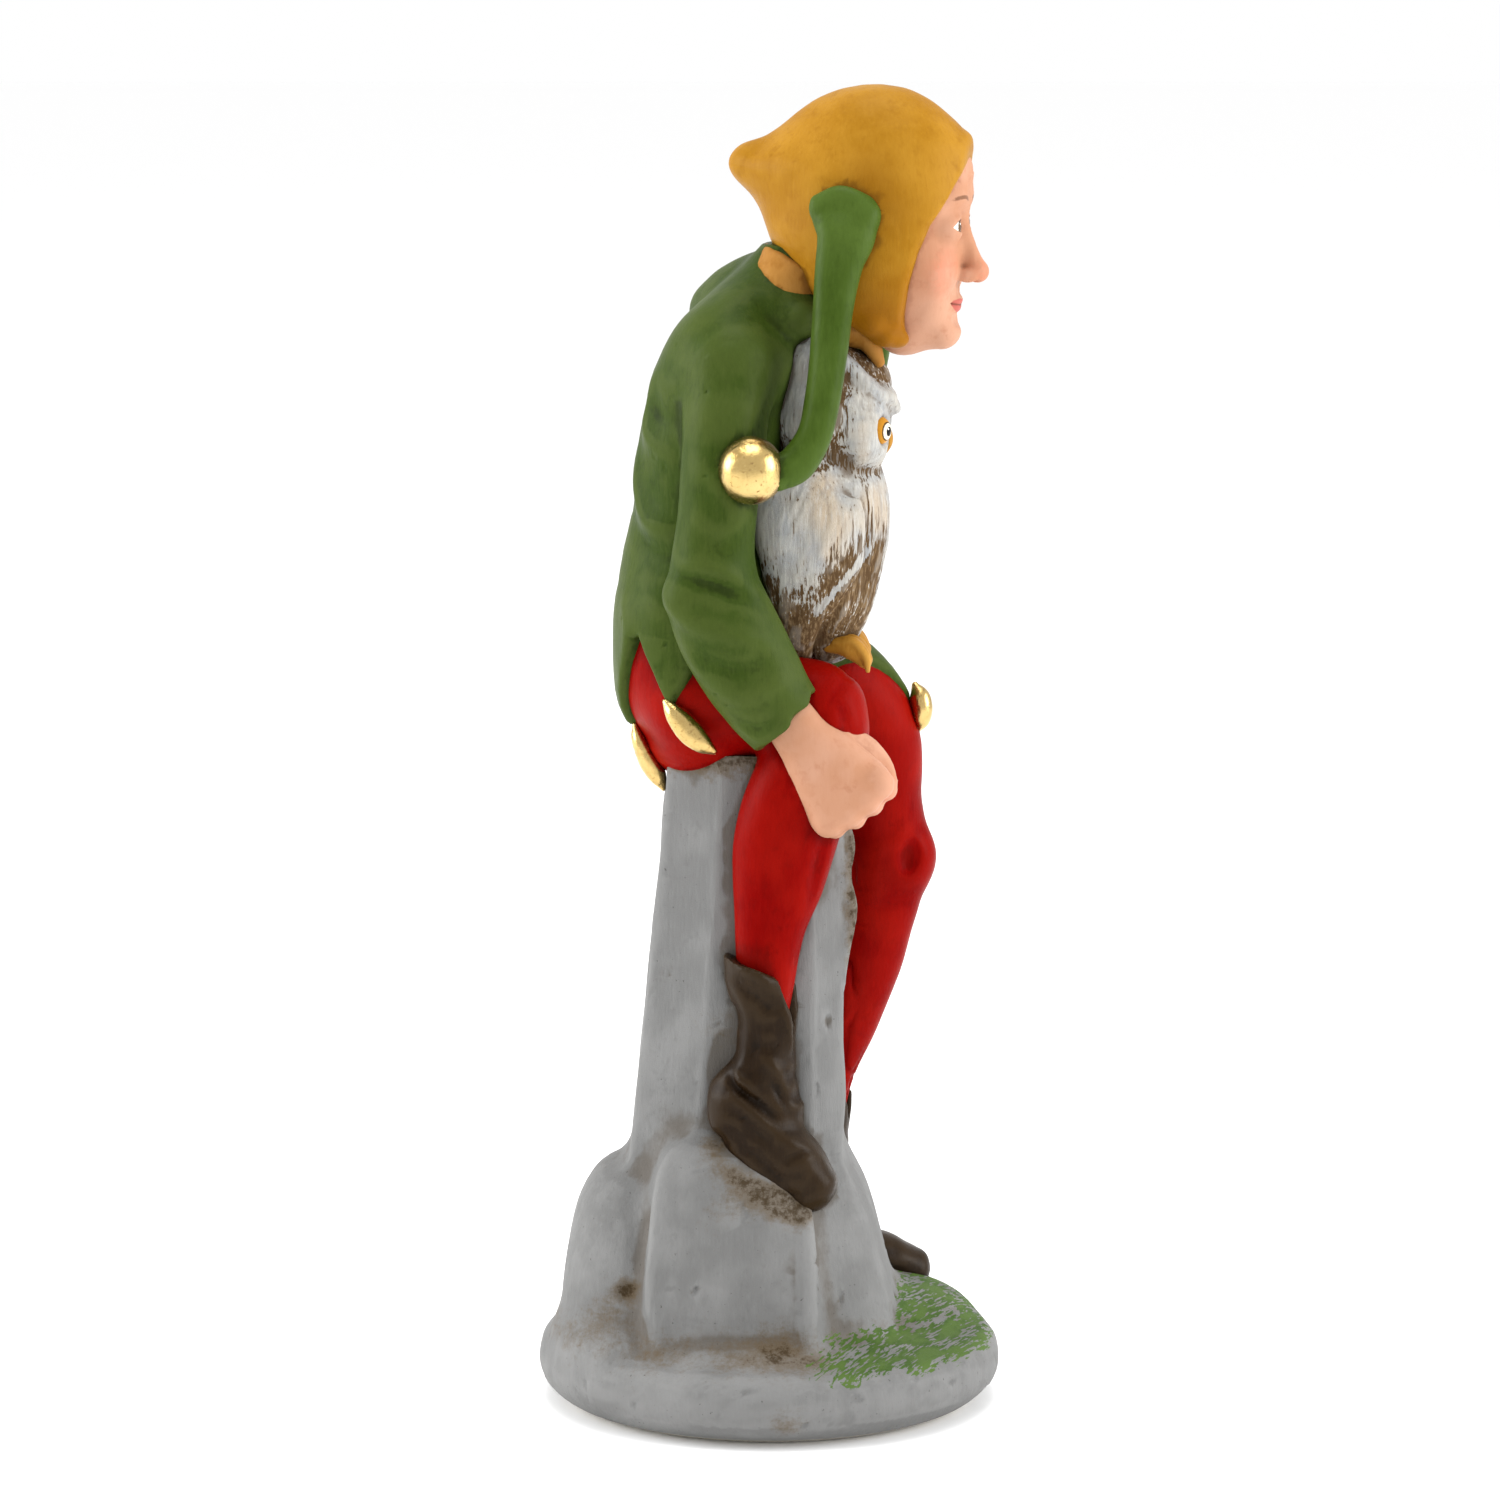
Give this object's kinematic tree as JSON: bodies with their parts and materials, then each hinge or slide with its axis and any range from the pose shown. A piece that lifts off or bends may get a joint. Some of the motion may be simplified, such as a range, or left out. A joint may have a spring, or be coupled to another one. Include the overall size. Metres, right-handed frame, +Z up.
{
  "type": "jester figurine",
  "caption": "Painted cast figurine of a seated jester holding an owl, on a rock pillar with a round base; stands on a shelf.",
  "frame": {"origin": "centre of the round base, on the surface that it stands on", "axes": "+Z up through the figure, the jester faces -Y, its right hand is on the -X side"},
  "size_m": [0.1208, 0.1208, 0.34],
  "materials": {
    "painted_plaster": "hand-painted, satin"
  },
  "bodies": {
    "root": {"jester_figurine": "painted_plaster"}
  },
  "joints": []
}
